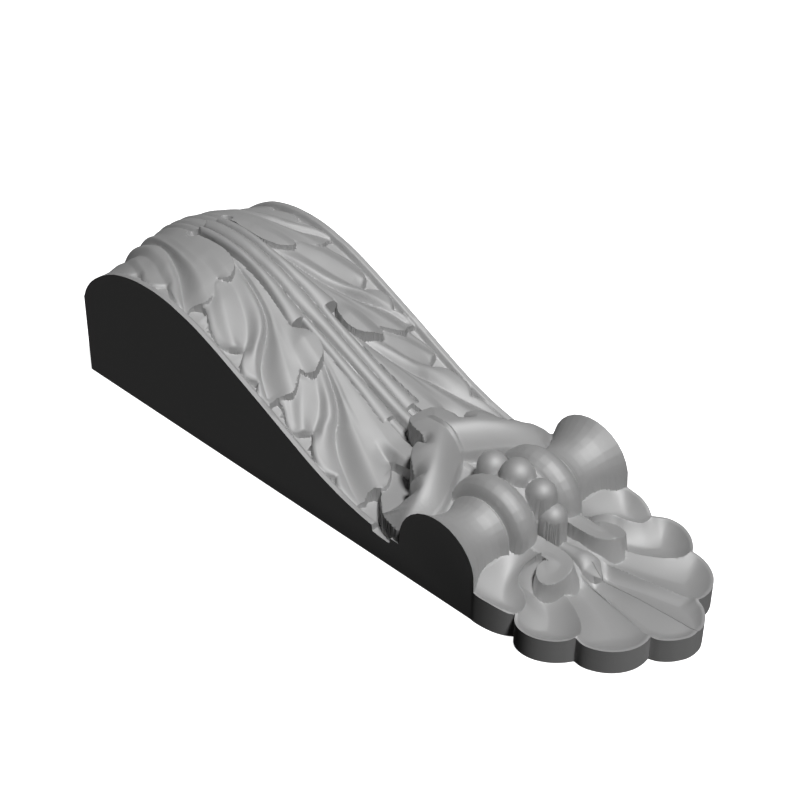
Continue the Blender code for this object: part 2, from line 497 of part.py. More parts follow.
def plan(along, across):
    """Turns grid places (0 to 1 along, -1 to 1 across) into x and y in widths."""
    edge = np.vstack([[0, HALF], [BODY_END, HALF], OUTLINE[1:]])
    lengths = np.concatenate([[0], np.cumsum(np.hypot(*np.diff(edge, axis=0).T))])
    here = along * lengths[-1]
    edge_x, edge_v = np.interp(here, lengths, edge[:, 0]), np.interp(here, lengths, edge[:, 1])
    past = np.clip((here - BODY_END) / (lengths[-1] - BODY_END), 0, 1)
    middle_x = np.minimum(here, BODY_END) + (FAN_END - BODY_END) * past
    reach = np.abs(across)
    return middle_x + reach * (edge_x - middle_x), np.sign(across) * reach * edge_v


def bracket_mesh():
    """Returns the bracket as a closed mesh: a grid raised to the relief, with walls down to its back."""
    edge = np.vstack([[BODY_END, HALF], OUTLINE[1:]])
    rows = int((BODY_END + np.hypot(*np.diff(edge, axis=0).T).sum()) / CELL)
    bm = bmesh.new()
    bmesh.ops.create_grid(bm, x_segments=rows, y_segments=ACROSS_CELLS, size=0.5)
    co = np.array([vert.co for vert in bm.verts])
    x, y = plan(co[:, 0] + 0.5, np.round(co[:, 1] * 2, 6))
    places = np.stack([x - ORIGIN_X, y, relief(x, y)], 1) * WIDTH
    for vert, place in zip(bm.verts, places):
        vert.co = place
    bmesh.ops.remove_doubles(bm, verts=bm.verts, dist=1e-6)
    open_edges = [e for e in bm.edges if e.is_boundary]
    walls = bmesh.ops.extrude_edge_only(bm, edges=open_edges)["geom"]
    foot = [g for g in walls if isinstance(g, bmesh.types.BMVert)]
    for vert in foot:
        vert.co.z = 0
    feet = set(foot)
    bmesh.ops.edgeloop_fill(bm, edges=[e for e in bm.edges if e.verts[0] in feet and e.verts[1] in feet])
    bmesh.ops.recalc_face_normals(bm, faces=bm.faces)
    mesh = bpy.data.meshes.new("acanthus_bracket")
    bm.to_mesh(mesh)
    bm.free()
    return mesh


def satin_grey():
    """Returns the material: carved and primed, an even satin grey."""
    material = bpy.data.materials.new("primed_grey")
    material.use_nodes = True
    shader = material.node_tree.nodes["Principled BSDF"]
    shader.inputs["Base Color"].default_value = (0.35, 0.35, 0.35, 1)
    shader.inputs["Roughness"].default_value = 0.55
    shader.inputs["Metallic"].default_value = 0.0
    return material


def flatten(mesh):
    """Puts the vertices of the back and of the two sides exactly on their planes."""
    near = 0.00002
    for vert in mesh.vertices:
        if abs(vert.co.z) < near:
            vert.co.z = 0
        if abs(abs(vert.co.y) - HALF * WIDTH) < near:
            vert.co.y = math.copysign(HALF * WIDTH, vert.co.y)


def main():
    """Builds the bracket in its collection."""
    for old in list(bpy.data.objects):
        bpy.data.objects.remove(old)
    collection = bpy.data.collections.new("acanthus_bracket")
    bpy.context.scene.collection.children.link(collection)
    carved = bpy.data.objects.new("acanthus_bracket", bracket_mesh())
    collection.objects.link(carved)
    fewer = carved.modifiers.new("fewer faces", "DECIMATE")
    fewer.ratio = FACES_KEPT / sum(len(face.vertices) - 2 for face in carved.data.polygons)
    fewer.use_collapse_triangulate = True
    bpy.context.view_layer.update()
    evaluated = carved.evaluated_get(bpy.context.evaluated_depsgraph_get())
    fewer_faces = bpy.data.meshes.new_from_object(evaluated)
    carved.modifiers.clear()
    carved.data = fewer_faces
    flatten(carved.data)
    carved.data.materials.clear()
    carved.data.materials.append(satin_grey())


main()
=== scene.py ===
"""Looks of a carved acanthus bracket that lies on its flat back.

The carved face is a height above the back, worked out from the bracket's width. x runs from the thick end
to the shell's tip and v is the distance from the plane of symmetry, both in widths of the bracket.
"""

import logging
import math
from dataclasses import dataclass, field
from enum import Enum

import bmesh
import bpy
import numpy as np
from mathutils import Matrix, Vector


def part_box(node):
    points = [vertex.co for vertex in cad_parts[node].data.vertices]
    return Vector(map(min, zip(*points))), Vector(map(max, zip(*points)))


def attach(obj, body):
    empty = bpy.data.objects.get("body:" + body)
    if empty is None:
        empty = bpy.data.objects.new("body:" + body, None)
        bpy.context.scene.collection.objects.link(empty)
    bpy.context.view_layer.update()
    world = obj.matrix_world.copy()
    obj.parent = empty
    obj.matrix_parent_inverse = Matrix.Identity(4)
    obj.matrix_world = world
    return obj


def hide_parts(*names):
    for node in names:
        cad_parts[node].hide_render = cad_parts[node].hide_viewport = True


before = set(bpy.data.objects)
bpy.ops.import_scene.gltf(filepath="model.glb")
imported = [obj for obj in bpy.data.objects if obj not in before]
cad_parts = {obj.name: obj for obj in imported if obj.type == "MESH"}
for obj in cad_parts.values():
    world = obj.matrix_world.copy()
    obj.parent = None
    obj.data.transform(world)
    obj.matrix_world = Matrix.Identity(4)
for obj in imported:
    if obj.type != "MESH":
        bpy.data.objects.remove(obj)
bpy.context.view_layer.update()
NODE = "acanthus_bracket"
LOG = logging.getLogger("bracket")

# The bracket's length and half its width, in widths of the bracket.
LENGTH = 3.365
HALF = 0.5
ORIGIN_X = LENGTH / 2
# The height that stands for a form that isn't there.
NOWHERE = -1.0
# Corners nearer to each other than this, in metres, are one.
TOUCHING = 1e-7

Points = tuple[tuple[float, float], ...]
Array = np.ndarray


def blend(start: float, end: float, x: Array) -> Array:
    """Rises smoothly from 0 to 1.

    Args:
        start: where it leaves 0.
        end: where it reaches 1.
        x: the places asked for.

    Returns:
        The share at each place.
    """
    t = np.clip((x - start) / (end - start), 0, 1)
    return t * t * (3 - 2 * t)


@dataclass(frozen=True)
class Graph:
    """A smooth graph through a few points that never overshoots them."""

    points: Points

    def __call__(self, x: Array) -> Array:
        """Reads the graph.

        Args:
            x: the places asked for.

        Returns:
            The value at each place, held level past both ends.
        """
        xs, ys = np.asarray(self.points, float).T
        gap = np.diff(xs)
        slope = np.diff(ys) / gap
        same_way = slope[:-1] * slope[1:] > 0
        total = np.where(same_way, slope[:-1] + slope[1:], 1)
        middle = np.where(same_way, 2 * slope[:-1] * slope[1:] / total, 0)
        tangent = np.concatenate([slope[:1], middle, slope[-1:]])
        x = np.clip(x, xs[0], xs[-1])
        i = np.clip(np.searchsorted(xs, x) - 1, 0, len(gap) - 1)
        t = (x - xs[i]) / gap[i]
        rise = ys[i] * (2 * t**3 - 3 * t**2 + 1) + ys[i + 1] * (3 * t**2 - 2 * t**3)
        return rise + gap[i] * (tangent[i] * (t**3 - 2 * t**2 + t) + tangent[i + 1] * (t**3 - t**2))


@dataclass(frozen=True)
class Line:
    """A carved line in plan, made of smooth stretches that meet at sharp corners."""

    stretches: tuple[Points, ...]
    steps: int = 6

    def course(self) -> Array:
        """Draws each stretch as a smooth curve through its points.

        Returns:
            The x and v of each point of the whole line.
        """
        t = (np.arange(self.steps) / self.steps)[:, None]
        passed = []
        for points in self.stretches:
            p = np.asarray(points, float)
            if len(p) > 2:
                p = np.vstack([2 * p[0] - p[1], p, 2 * p[-1] - p[-2]])
                for a, b, c, d in zip(p, p[1:], p[2:], p[3:]):
                    turn = (2 * a - 5 * b + 4 * c - d) * t**2 + (3 * b - a - 3 * c + d) * t**3
                    passed.append(0.5 * (2 * b + (c - a) * t + turn))
            else:
                passed.append(p[:1])
        return np.vstack([*passed, [self.stretches[-1][-1]]])

    def near(self, x: Array, v: Array) -> tuple[Array, Array, Array]:
        """Measures places against the line.

        Args:
            x: places along the bracket.
            v: distances from its middle.

        Returns:
            The distance, the side (1 is left of the line's travel) and the share of the line passed.
        """
        line = self.course()
        steps = np.diff(line, axis=0)
        lengths = np.hypot(*steps.T)
        passed = np.concatenate([[0], np.cumsum(lengths)])
        best = np.full(x.shape, np.inf)
        side, share = np.zeros(x.shape), np.zeros(x.shape)
        for start, (dx, dv), length, before in zip(line, steps, lengths, passed):
            from_x, from_v = x - start[0], v - start[1]
            t = np.clip((from_x * dx + from_v * dv) / length**2, 0, 1)
            off_x, off_v = from_x - t * dx, from_v - t * dv
            squared = off_x**2 + off_v**2
            closer = squared < best
            best = np.where(closer, squared, best)
            side = np.where(closer, np.sign(dx * off_v - dv * off_x), side)
            share = np.where(closer, (before + t * length) / passed[-1], share)
        return np.sqrt(best), side, share

    def off(self, x: Array, v: Array) -> Array:
        """Measures only the distance to the line."""
        return self.near(x, v)[0]

    def hold(self, x: Array, v: Array, reach: float, gap: float) -> tuple[Array, Array]:
        """Draws nearby places onto the two sides of the line, so that a wall stands there.

        Args:
            x: places along the bracket.
            v: distances from its middle.
            reach: how near a place has to be.
            gap: how far from the line it is put.

        Returns:
            The places, moved or not.
        """
        line = self.course()
        low, high = line.min(axis=0) - reach, line.max(axis=0) + reach
        boxed = (x > low[0]) & (x < high[0]) & (v > low[1]) & (v < high[1])
        px, pv = x[boxed], v[boxed]
        best = np.full(px.shape, reach**2)
        new_x, new_v = px.copy(), pv.copy()
        for start, (dx, dv) in zip(line, np.diff(line, axis=0)):
            length = math.hypot(dx, dv)
            t = np.clip(((px - start[0]) * dx + (pv - start[1]) * dv) / length**2, 0, 1)
            on_x, on_v = start[0] + t * dx, start[1] + t * dv
            squared = (px - on_x) ** 2 + (pv - on_v) ** 2
            closer = squared < best
            best = np.where(closer, squared, best)
            way = np.where(dx * (pv - on_v) - dv * (px - on_x) < 0, -gap, gap) / length
            new_x = np.where(closer, on_x - way * dv, new_x)
            new_v = np.where(closer, on_v + way * dx, new_v)
        x, v = x.copy(), v.copy()
        x[boxed], v[boxed] = new_x, new_v
        return x, v


def inside(outline: Array, x: Array, v: Array) -> Array:
    """Tests places against a closed outline.

    Args:
        outline: its corners.
        x: places along the bracket.
        v: distances from its middle.

    Returns:
        Whether each place is inside.
    """
    hit = np.zeros(x.shape, bool)
    for (x0, v0), (x1, v1) in zip(outline, np.roll(outline, -1, axis=0)):
        if v0 != v1:
            hit ^= ((v0 > v) != (v1 > v)) & (x < (x1 - x0) * (v - v0) / (v1 - v0) + x0)
    return hit


def hollow(off: Array, reach: Array | float) -> Array:
    """Falls from 1 on a line to 0 at reach from it, steeply at first."""
    return np.clip(1 - off / reach, 0, 1) ** 2


def summed(*rises: Array) -> Array:
    """Merges rises so that they meet without creases."""
    return np.cbrt(sum(np.clip(rise, 0, None) ** 3 for rise in rises))


@dataclass(frozen=True)
class Fold:
    """A crest or hollow of the carving, as (x, v, height), with how steeply each of its sides leaves it."""

    points: tuple[tuple[float, float, float], ...]
    inner: float = 0
    outer: float = 0

    def near(self, x: Array, v: Array) -> tuple[Array, Array, Array]:
        """Measures places against the fold.

        Args:
            x: places along the bracket.
            v: distances from its middle.

        Returns:
            The distance, whether the place is on the rim's side, and the fold's height beside it.
        """
        line = Line((tuple(point[:2] for point in self.points),))
        off, side, share = line.near(x, v)
        lengths = np.concatenate([[0], np.cumsum(np.hypot(*np.diff(line.course(), axis=0).T))])
        knots = lengths[:: line.steps] / lengths[-1]
        return off, side > 0, Graph(tuple(zip(knots, (point[2] for point in self.points))))(share)


def skin(folds: tuple[Fold, ...], x: Array, v: Array) -> Array:
    """Lays a smooth skin over neighbouring folds.

    Args:
        folds: the folds, from the ribs' side to the rim's side.
        x: places along the bracket.
        v: distances from its middle.

    Returns:
        The height at each place.
    """
    measured = [fold.near(x, v) for fold in folds]
    height = measured[0][2]
    pairs = zip(folds, folds[1:], measured, measured[1:])
    for near, far, (off, past, level), (next_off, _, next_level) in pairs:
        t = off / np.maximum(off + next_off, 1e-9)
        eased = t * t * (3 - 2 * t) + near.outer * (t**3 - 2 * t**2 + t) + far.inner * (t**3 - t**2)
        height = np.where(past, level + (next_level - level) * eased, height)
    return np.where(measured[-1][1], measured[-1][2], height)


@dataclass(frozen=True)
class Tier:
    """One tier of the leaf: it hangs over the next and ends in an edge of lobes."""

    root: Points
    edge: Line
    scallops: Line
    folds: tuple[Fold, ...]
    roll: float = 0.012
    roll_width: float = 0.025

    def covers(self, x: Array, v: Array) -> Array:
        """Tells where the tier lies, scallops aside."""
        return inside(np.vstack([self.root, self.edge.course()]), x, v)

    def to_rim(self, x: Array, v: Array) -> Array:
        """Measures how far inside the scallops each place is."""
        return np.interp(x, *self.scallops.course().T) - v

    def height(self, x: Array, v: Array) -> Array:
        """Works out the height of the tier above the rim, which is rolled down at the scallops."""
        rolled = self.roll * np.clip(1 - self.to_rim(x, v) / self.roll_width, 0, 1) ** 2
        return skin(self.folds, x, v) - rolled


@dataclass(frozen=True)
class Rod:
    """A stretch of the rod beside the midrib: its end, how far its top drops, and its outer edge."""

    end: float
    drop: float
    edge: Graph


@dataclass(frozen=True)
class Eye:
    """The sunk eye beside the ribs, where the first tier of the leaf parts from them."""

    x: float = 0.375
    v: float = 0.10
    radius: float = 0.035
    depth: float = 0.05

    def cut(self, height: Array, x: Array, v: Array) -> Array:
        """Cuts the eye into the leaf."""
        away = ((x - self.x) ** 2 + (v - self.v) ** 2) / self.radius**2
        return height - self.depth * np.clip(1 - away, 0, 1)


@dataclass(frozen=True)
class Body:
    """The sloping body: its side profile, the leaf in three tiers, the ribs and the ground round them."""

    rim: Graph = Graph((
        (-0.05, 0.40), (0, 0.43), (0.02, 0.473), (0.06, 0.53), (0.12, 0.585), (0.21, 0.641), (0.28, 0.672),
        (0.39, 0.698), (0.463, 0.706), (0.536, 0.7069), (0.608, 0.7015), (0.68, 0.69), (0.747, 0.672),
        (0.816, 0.653), (0.884, 0.628), (0.95, 0.60), (1.017, 0.57), (1.083, 0.538), (1.28, 0.442),
        (1.473, 0.344), (1.60, 0.282), (1.664, 0.254), (1.7275, 0.2305), (1.79, 0.209), (1.853, 0.1915),
        (1.915, 0.1768), (1.977, 0.166), (2.03, 0.158), (2.07, 0.155), (2.20, 0.155),
    ))
    tiers: tuple[Tier, ...] = (
        Tier(
            root=((-0.2, 0.52), (-0.2, -0.01), (0.36, 0.0)),
            edge=Line((
                ((0.385, 0.10), (0.50, 0.095), (0.60, 0.095), (0.65, 0.105), (0.70, 0.128), (0.73, 0.158),
                 (0.75, 0.195), (0.735, 0.225), (0.703, 0.24)),
                ((0.703, 0.24), (0.73, 0.275), (0.76, 0.31), (0.777, 0.35), (0.77, 0.385), (0.745, 0.412),
                 (0.738, 0.43)),
                ((0.738, 0.43), (0.745, 0.47), (0.745, 0.52)),
            )),
            scallops=Line((
                ((-0.1, 0.47), (0.2, 0.47), (0.30, 0.462), (0.35, 0.43), (0.38, 0.43)),
                ((0.38, 0.43), (0.42, 0.452), (0.47, 0.46), (0.51, 0.45), (0.545, 0.41)),
                ((0.545, 0.41), (0.58, 0.43), (0.63, 0.455), (0.70, 0.47), (0.78, 0.47)),
            )),
            folds=(
                Fold(((-0.05, 0.03, 0.122), (0.10, 0.045, 0.112), (0.30, 0.07, 0.09), (0.45, 0.12, 0.078),
                      (0.60, 0.15, 0.076), (0.74, 0.18, 0.074))),
                Fold(((-0.05, 0.10, 0.095), (0.20, 0.15, 0.078), (0.35, 0.19, 0.068), (0.515, 0.218, 0.060),
                      (0.607, 0.222, 0.055), (0.703, 0.24, 0.048)), 1, 1),
                Fold(((-0.05, 0.14, 0.10), (0.10, 0.165, 0.09), (0.30, 0.215, 0.062), (0.45, 0.245, 0.052),
                      (0.60, 0.275, 0.044), (0.77, 0.335, 0.034))),
                Fold(((-0.05, 0.20, 0.060), (0.20, 0.215, 0.045), (0.35, 0.245, 0.024), (0.45, 0.285, 0.0),
                      (0.53, 0.325, -0.014), (0.60, 0.37, -0.02), (0.67, 0.42, -0.022),
                      (0.73, 0.46, -0.024)), 0.6, 2),
                Fold(((-0.05, 0.23, 0.072), (0.10, 0.245, 0.066), (0.20, 0.25, 0.055), (0.35, 0.29, 0.032),
                      (0.45, 0.325, 0.02), (0.53, 0.36, 0.006), (0.62, 0.42, -0.004),
                      (0.70, 0.465, -0.01))),
                Fold(((-0.05, 0.28, 0.0), (0.10, 0.30, 0.0), (0.20, 0.30, 0.02), (0.36, 0.34, 0.012),
                      (0.46, 0.38, -0.006), (0.54, 0.41, -0.016)), 1, 1),
                Fold(((-0.05, 0.31, 0.01), (0.10, 0.33, 0.008), (0.20, 0.335, 0.022), (0.35, 0.39, 0.004),
                      (0.45, 0.44, -0.01))),
                Fold(((-0.05, 0.35, 0.02), (0.15, 0.36, 0.014), (0.25, 0.39, 0), (0.36, 0.43, -0.016)), 1, 1),
                Fold(((-0.05, 0.40, 0.01), (0.10, 0.42, 0.0), (0.25, 0.45, -0.01))),
            ),
        ),
        Tier(
            root=((0.50, 0.52), (0.50, 0.04), (1.09, 0.04)),
            edge=Line((
                ((1.10, 0.147), (1.12, 0.122), (1.16, 0.098), (1.20, 0.09), (1.24, 0.092), (1.28, 0.112),
                 (1.307, 0.148), (1.325, 0.19), (1.33, 0.215), (1.31, 0.24), (1.275, 0.25)),
                ((1.275, 0.25), (1.30, 0.285), (1.33, 0.33), (1.338, 0.36), (1.32, 0.39), (1.297, 0.42)),
                ((1.297, 0.42), (1.30, 0.45), (1.30, 0.47), (1.30, 0.52)),
            )),
            scallops=Line((
                ((0.74, 0.385), (0.79, 0.39), (0.83, 0.41), (0.88, 0.437), (0.93, 0.452), (0.98, 0.446),
                 (1.012, 0.42), (1.033, 0.375)),
                ((1.033, 0.375), (1.055, 0.40), (1.08, 0.435), (1.11, 0.46), (1.14, 0.465), (1.17, 0.45),
                 (1.19, 0.43)),
                ((1.19, 0.43), (1.21, 0.455), (1.25, 0.476), (1.36, 0.48)),
            )),
            folds=(
                Fold(((0.68, 0.07, 0.060), (0.85, 0.085, 0.062), (1.0, 0.11, 0.068), (1.10, 0.135, 0.078),
                      (1.20, 0.14, 0.108), (1.33, 0.16, 0.11))),
                Fold(((0.68, 0.085, 0.056), (0.85, 0.11, 0.058), (1.0, 0.15, 0.064), (1.10, 0.19, 0.072),
                      (1.20, 0.22, 0.073), (1.30, 0.2475, 0.062)), 1, 1),
                Fold(((0.68, 0.095, 0.054), (0.85, 0.125, 0.056), (0.97, 0.16, 0.058), (1.05, 0.20, 0.060),
                      (1.15, 0.245, 0.064), (1.25, 0.295, 0.062), (1.33, 0.335, 0.054))),
                Fold(((0.68, 0.105, 0.048), (0.786, 0.129, 0.037), (0.889, 0.157, 0.036),
                      (0.97, 0.188, 0.034), (1.03, 0.23, 0.026), (1.07, 0.28, 0.008), (1.10, 0.325, -0.006),
                      (1.14, 0.37, -0.012), (1.19, 0.405, -0.014), (1.26, 0.44, -0.02)), 0.6, 2),
                Fold(((0.68, 0.125, 0.048), (0.80, 0.157, 0.054), (0.905, 0.189, 0.058),
                      (0.957, 0.2115, 0.058), (1.0, 0.2375, 0.056), (1.04, 0.275, 0.050),
                      (1.075, 0.33, 0.038), (1.11, 0.375, 0.022), (1.16, 0.42, 0.008),
                      (1.23, 0.455, -0.004))),
                Fold(((0.75, 0.20, 0.045), (0.85, 0.235, 0.036), (0.95, 0.285, 0.022), (1.01, 0.335, 0.006),
                      (1.035, 0.375, -0.01)), 0.5, 1),
                Fold(((0.74, 0.25, 0.048), (0.82, 0.30, 0.042), (0.90, 0.345, 0.03), (0.97, 0.385, 0.018),
                      (1.02, 0.41, 0.01))),
                Fold(((0.74, 0.35, 0.02), (0.83, 0.40, 0.006), (0.90, 0.435, -0.004), (0.98, 0.455, -0.01))),
            ),
        ),
        Tier(
            root=((1.0, 0.52), (1.0, 0.04), (2.06, 0.04)),
            edge=Line((
                ((2.06, 0.19), (1.98, 0.20), (1.916, 0.208), (1.853, 0.208), (1.805, 0.214)),
                ((1.805, 0.214), (1.835, 0.23), (1.862, 0.257), (1.89, 0.295), (1.904, 0.33),
                 (1.895, 0.353), (1.872, 0.37), (1.862, 0.40)),
                ((1.862, 0.40), (1.873, 0.43), (1.863, 0.46), (1.855, 0.52)),
            )),
            scallops=Line((
                ((1.28, 0.41), (1.32, 0.415), (1.35, 0.425), (1.39, 0.448), (1.43, 0.457), (1.46, 0.44),
                 (1.475, 0.41), (1.486, 0.38)),
                ((1.486, 0.38), (1.51, 0.40), (1.55, 0.44), (1.60, 0.466), (1.65, 0.472), (1.682, 0.456),
                 (1.70, 0.44)),
                ((1.70, 0.44), (1.73, 0.463), (1.78, 0.478), (1.95, 0.48)),
            )),
            folds=(
                Fold(((1.25, 0.08, 0.075), (1.40, 0.10, 0.084), (1.55, 0.12, 0.092), (1.66, 0.14, 0.092),
                      (1.75, 0.16, 0.088), (1.85, 0.17, 0.10), (1.98, 0.18, 0.12))),
                Fold(((1.25, 0.095, 0.070), (1.40, 0.135, 0.076), (1.50, 0.17, 0.080), (1.60, 0.195, 0.080),
                      (1.70, 0.208, 0.074), (1.805, 0.214, 0.045), (1.853, 0.208, 0.07),
                      (1.916, 0.208, 0.095), (1.98, 0.20, 0.105)), 1, 1),
                Fold(((1.25, 0.10, 0.066), (1.40, 0.15, 0.068), (1.50, 0.19, 0.070), (1.62, 0.235, 0.070),
                      (1.75, 0.285, 0.062), (1.88, 0.335, 0.05))),
                Fold(((1.25, 0.108, 0.060), (1.40, 0.172, 0.044), (1.47, 0.21, 0.036), (1.52, 0.255, 0.022),
                      (1.555, 0.305, 0.002), (1.62, 0.352, -0.010), (1.70, 0.39, -0.012),
                      (1.78, 0.425, -0.01), (1.87, 0.455, -0.008)), 0.6, 2),
                Fold(((1.25, 0.13, 0.060), (1.40, 0.21, 0.066), (1.455, 0.243, 0.062),
                      (1.495, 0.276, 0.052), (1.52, 0.325, 0.038), (1.57, 0.39, 0.022),
                      (1.64, 0.435, 0.008), (1.74, 0.46, 0.0))),
                Fold(((1.28, 0.17, 0.052), (1.34, 0.22, 0.050), (1.42, 0.275, 0.032), (1.465, 0.33, 0.012),
                      (1.486, 0.375, -0.008)), 0.5, 1),
                Fold(((1.32, 0.26, 0.050), (1.37, 0.32, 0.040), (1.42, 0.37, 0.024), (1.465, 0.41, 0.01))),
                Fold(((1.30, 0.35, 0.02), (1.36, 0.40, 0.004), (1.43, 0.445, -0.008))),
            ),
        ),
    )
    midrib: Graph = Graph(((0, 0.03), (0.30, 0.036), (0.90, 0.038), (1.0, 0.044), (1.2, 0.034), (2.0, 0.03)))
    rods: tuple[Rod, ...] = (
        Rod(1.10, 0.004, Graph((
            (0, 0.07), (0.385, 0.085), (0.70, 0.086), (0.85, 0.0975), (1.0, 0.1235), (1.10, 0.145),
            (1.2, 0.15),
        ))),
        Rod(1.665, 0.012, Graph((
            (1.0, 0.085), (1.2, 0.088), (1.35, 0.0925), (1.5, 0.10), (1.66, 0.1165), (1.75, 0.12),
        ))),
        Rod(2.10, 0.03, Graph(((1.5, 0.07), (1.7, 0.088), (1.9, 0.10)))),
    )
    rib_crest: float = 0.104
    rib_groove: float = 0.070
    crest_gain: float = 0.008
    groove_gain: float = 0.012
    gain_between: tuple[float, float] = (1.2, 1.6)
    plate: Points = (
        (2.04, 0.46), (2.006, 0.456), (1.945, 0.402), (1.895, 0.353), (1.84, 0.30), (1.805, 0.214),
        (1.93, 0.19), (2.10, 0.20), (2.10, 0.42),
    )
    plate_shown: int = 4
    plate_top: float = 0.213
    channel: float = 0.03
    lip_start: float = 0.445
    lip_slope: tuple[float, float] = (0.452, 0.478)
    lip_end: float = 1.99
    eye: Eye = Eye()
    furrow: float = 0.016
    furrow_width: float = 0.024
    furrow_end: tuple[float, float] = (0.355, 0.385)

    def ribs(self, rim: Array, x: Array, v: Array) -> Array:
        """Works out the height of the midrib and the rods beside it.

        Args:
            rim: the height of the rim at each place.
            x: places along the bracket.
            v: distances from its middle.

        Returns:
            The height at each place.
        """
        gain = blend(*self.gain_between, x)
        crest = rim + self.rib_crest + self.crest_gain * gain
        groove = rim + self.rib_groove + self.groove_gain * gain
        edge = self.midrib(x)
        round_top = np.sqrt(np.clip(1 - (v / edge) ** 2, 0, 1))
        height = np.where(v < edge, groove + (crest - groove) * round_top, NOWHERE)
        start = -np.inf
        for rod in self.rods:
            outer = rod.edge(x)
            across = np.clip(2 * (v - edge) / (outer - edge) - 1, -1, 1)
            top = groove - rod.drop + (crest - groove) * np.sqrt(1 - across**2)
            height = np.where((v >= edge) & (v < outer) & (x >= start) & (x < rod.end), top, height)
            start = rod.end
        return height

    def height(self, x: Array, v: Array) -> Array:
        """Works out the height of the body.

        Args:
            x: places along the bracket.
            v: distances from its middle.

        Returns:
            The height at each place.
        """
        rim = self.rim(x)
        ground = rim - self.channel
        height = np.where(inside(np.asarray(self.plate), x, v), self.plate_top, ground)
        first, *others = self.tiers
        # The ribs run under the first tier and over the others.
        for tier in reversed(others):
            leaf = np.where(tier.to_rim(x, v) > 0, rim + tier.height(x, v), ground)
            height = np.where(tier.covers(x, v), leaf, height)
        ribs = self.ribs(rim, x, v)
        height = np.where(ribs > 0, ribs, height)
        leaf = np.where(first.to_rim(x, v) > 0, rim + first.height(x, v), ground)
        height = np.where(first.covers(x, v), leaf, height)
        for edge in (self.midrib, self.rods[0].edge):
            furrow = self.furrow * hollow(np.abs(v - edge(x)), self.furrow_width)
            height = height - furrow * (1 - blend(*self.furrow_end, x))
        height = self.eye.cut(height, x, v)
        lip = ground + self.channel * blend(*self.lip_slope, v)
        return np.where((v > self.lip_start) & (x < self.lip_end), np.maximum(height, lip), height)

    def walls(self) -> list[Line]:
        """Lists the lines where the carving steps down."""
        lines = [Line((self.plate[: self.plate_shown],), steps=1)]
        for tier in self.tiers:
            lines += [tier.scallops, tier.edge]
        return lines


@dataclass(frozen=True)
class Bead:
    """A bead on the baluster: degrees up from the shell's side, how far from the axis, and its radius."""

    angle: float
    away: float
    radius: float


@dataclass(frozen=True)
class Baluster:
    """The turned baluster that lies across the bracket, with a row of beads round its middle."""

    axis_x: float = 2.37
    axis_z: float = 0.197
    profile: Points = (
        (0, 0.185), (0.075, 0.185), (0.085, 0.20), (0.11, 0.218), (0.14, 0.227), (0.17, 0.225),
        (0.195, 0.212), (0.211, 0.19), (0.22, 0.162), (0.226, 0.162), (0.234, 0.17), (0.27, 0.152),
        (0.31, 0.146), (0.35, 0.149), (0.39, 0.158), (0.43, 0.174), (0.465, 0.195), (0.50, 0.218),
    )
    facet: float = 12
    wall_points: int = 60
    beads: tuple[Bead, ...] = (
        Bead(17, 0.215, 0.066), Bead(48, 0.203, 0.070), Bead(90, 0.176, 0.080), Bead(134, 0.205, 0.071),
    )
    bead_step: float = 6

    def radius(self, v: Array) -> Array:
        """Works out the radius at each distance from the middle."""
        return np.interp(v, *zip(*self.profile))

    def middle(self, bead: Bead) -> tuple[float, float]:
        """Works out the place along the bracket and the height of a bead's middle."""
        angle = math.radians(bead.angle)
        return self.axis_x + bead.away * math.cos(angle), self.axis_z + bead.away * math.sin(angle)

    def height(self, x: Array, v: Array) -> Array:
        """Works out the height of the baluster and its beads.

        Args:
            x: places along the bracket.
            v: distances from its middle.

        Returns:
            The height at each place.
        """
        radius = self.radius(v)
        across = (x - self.axis_x) / radius
        turns = np.radians(np.arange(180, -1, -self.facet))
        faceted = self.axis_z + radius * np.interp(across, np.cos(turns), np.sin(turns))
        height = np.where(np.abs(across) < 1, faceted, NOWHERE)
        for bead in self.beads:
            bead_x, bead_z = self.middle(bead)
            rise = bead.radius**2 - (x - bead_x) ** 2 - v**2
            height = np.maximum(height, np.where(rise > 0, bead_z + np.sqrt(np.maximum(rise, 0)), NOWHERE))
        return height

    def walls(self) -> list[Line]:
        """Lists the outlines of the baluster and its lowest bead, which stand over what is round them.

        Returns:
            The back, the front and the bead.
        """
        v = np.linspace(0, HALF, self.wall_points)
        radius = self.radius(v)
        back, front = (tuple(zip(self.axis_x + sign * radius, v)) for sign in (-1, 1))
        lowest = self.beads[0]
        turns = np.radians(np.arange(0, 91, self.bead_step))
        bead_x = self.middle(lowest)[0] + lowest.radius * np.cos(turns)
        bead = tuple(zip(bead_x, lowest.radius * np.sin(turns)))
        return [Line((outline,), steps=1) for outline in (back, front, bead)]


